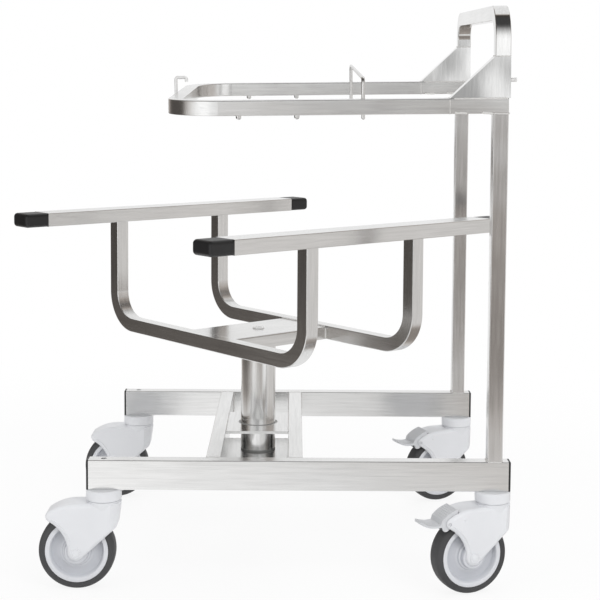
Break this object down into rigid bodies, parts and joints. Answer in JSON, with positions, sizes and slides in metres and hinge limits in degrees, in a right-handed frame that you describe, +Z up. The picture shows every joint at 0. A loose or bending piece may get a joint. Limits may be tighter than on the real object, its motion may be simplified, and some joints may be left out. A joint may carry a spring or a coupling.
{
  "type": "gastronorm container trolley",
  "caption": "Tube-frame trolley on swivel casters with an upper pan frame, a push handle and a turning lower cradle on a column, for moving food pans.",
  "frame": {"origin": "on the floor under the middle of the overall box, which is the column's axis", "axes": "+X towards the push handle, +Y away from the pictured side, +Z up"},
  "size_m": [0.9002, 0.8924, 0.9811],
  "materials": {
    "steel": "brushed stainless",
    "black_plastic": "moulded, satin",
    "grey_plastic": "moulded, satin",
    "core_plastic": "moulded, satin",
    "bearing_plastic": "turned, plain",
    "tyre": "moulded rubber",
    "fixing_steel": "polished"
  },
  "bodies": {
    "base": {"base_rail_near": "steel", "rail_cap_near_right": "black_plastic", "rail_cap_near_left": "black_plastic", "base_rail_far": "steel", "rail_cap_far_right": "black_plastic", "rail_cap_far_left": "black_plastic", "cross_member_left": "steel", "cross_member_right": "steel", "socket_plate_upper": "steel", "socket_plate_lower": "steel", "column_bush": "bearing_plastic", "thrust_washer": "bearing_plastic", "post_near": "steel", "post_far": "steel", "top_frame": "steel", "frame_end_near": "steel", "handle_bracket_near": "steel", "frame_end_far": "steel", "handle_bracket_far": "steel", "handle": "steel", "pan_stop_bail": "steel", "pan_hook": "steel", "dome_fixings": "fixing_steel", "stub_pin": "fixing_steel", "caster_mount_near_left": "grey_plastic", "caster_mount_near_right": "grey_plastic", "caster_mount_far_left": "grey_plastic", "caster_mount_far_right": "grey_plastic"},
    "cradle": {"column": "steel", "column_foot": "steel", "column_nut": "fixing_steel", "cradle_channel": "steel", "column_bolt": "fixing_steel", "cradle_bow_left": "steel", "cradle_bow_right": "steel", "cradle_rail_near": "steel", "cradle_cap_near_right": "black_plastic", "cradle_cap_near_left": "black_plastic", "cradle_rail_far": "steel", "cradle_cap_far_right": "black_plastic", "cradle_cap_far_left": "black_plastic"},
    "swivel_near_left": {"caster_housing_near_left": "grey_plastic", "caster_axle_near_left": "fixing_steel"},
    "wheel_near_left": {"wheel_core_near_left": "core_plastic", "wheel_tyre_near_left": "tyre"},
    "swivel_near_right": {"caster_housing_near_right": "grey_plastic", "caster_axle_near_right": "fixing_steel"},
    "wheel_near_right": {"wheel_core_near_right": "core_plastic", "wheel_tyre_near_right": "tyre"},
    "pedal_near_right": {"brake_pedal_near_right": "grey_plastic"},
    "swivel_far_left": {"caster_housing_far_left": "grey_plastic", "caster_axle_far_left": "fixing_steel"},
    "wheel_far_left": {"wheel_core_far_left": "core_plastic", "wheel_tyre_far_left": "tyre"},
    "swivel_far_right": {"caster_housing_far_right": "grey_plastic", "caster_axle_far_right": "fixing_steel"},
    "wheel_far_right": {"wheel_core_far_right": "core_plastic", "wheel_tyre_far_right": "tyre"},
    "pedal_far_right": {"brake_pedal_far_right": "grey_plastic"}
  },
  "joints": [
    {"name": "cradle_turn", "type": "hinge", "parent": "base", "child": "cradle", "pos_m": [0, 0, 0.2175], "axis": [0, 0, 1], "continuous": true},
    {"name": "near_left_swivel", "type": "hinge", "parent": "base", "child": "swivel_near_left", "pos_m": [-0.2495, -0.267, 0.1495], "axis": [0, 0, 1], "continuous": true},
    {"name": "near_left_roll", "type": "hinge", "parent": "swivel_near_left", "child": "wheel_near_left", "pos_m": [-0.2935, -0.267, 0.064], "axis": [0, 1, 0], "continuous": true},
    {"name": "near_right_swivel", "type": "hinge", "parent": "base", "child": "swivel_near_right", "pos_m": [0.3975, -0.267, 0.1495], "axis": [0, 0, 1], "continuous": true},
    {"name": "near_right_roll", "type": "hinge", "parent": "swivel_near_right", "child": "wheel_near_right", "pos_m": [0.35615, -0.28205, 0.064], "axis": [-0.342, 0.9397, 0], "continuous": true},
    {"name": "near_right_brake", "type": "hinge", "parent": "swivel_near_right", "child": "pedal_near_right", "pos_m": [0.31317, -0.29769, 0.1247], "axis": [0.342, -0.9397, 0], "range_deg": [0, 16]},
    {"name": "far_left_swivel", "type": "hinge", "parent": "base", "child": "swivel_far_left", "pos_m": [-0.2495, 0.267, 0.1495], "axis": [0, 0, 1], "continuous": true},
    {"name": "far_left_roll", "type": "hinge", "parent": "swivel_far_left", "child": "wheel_far_left", "pos_m": [-0.2935, 0.267, 0.064], "axis": [0, 1, 0], "continuous": true},
    {"name": "far_right_swivel", "type": "hinge", "parent": "base", "child": "swivel_far_right", "pos_m": [0.3975, 0.267, 0.1495], "axis": [0, 0, 1], "continuous": true},
    {"name": "far_right_roll", "type": "hinge", "parent": "swivel_far_right", "child": "wheel_far_right", "pos_m": [0.35615, 0.25195, 0.064], "axis": [-0.342, 0.9397, 0], "continuous": true},
    {"name": "far_right_brake", "type": "hinge", "parent": "swivel_far_right", "child": "pedal_far_right", "pos_m": [0.31317, 0.23631, 0.1247], "axis": [0.342, -0.9397, 0], "range_deg": [0, 16]}
  ]
}
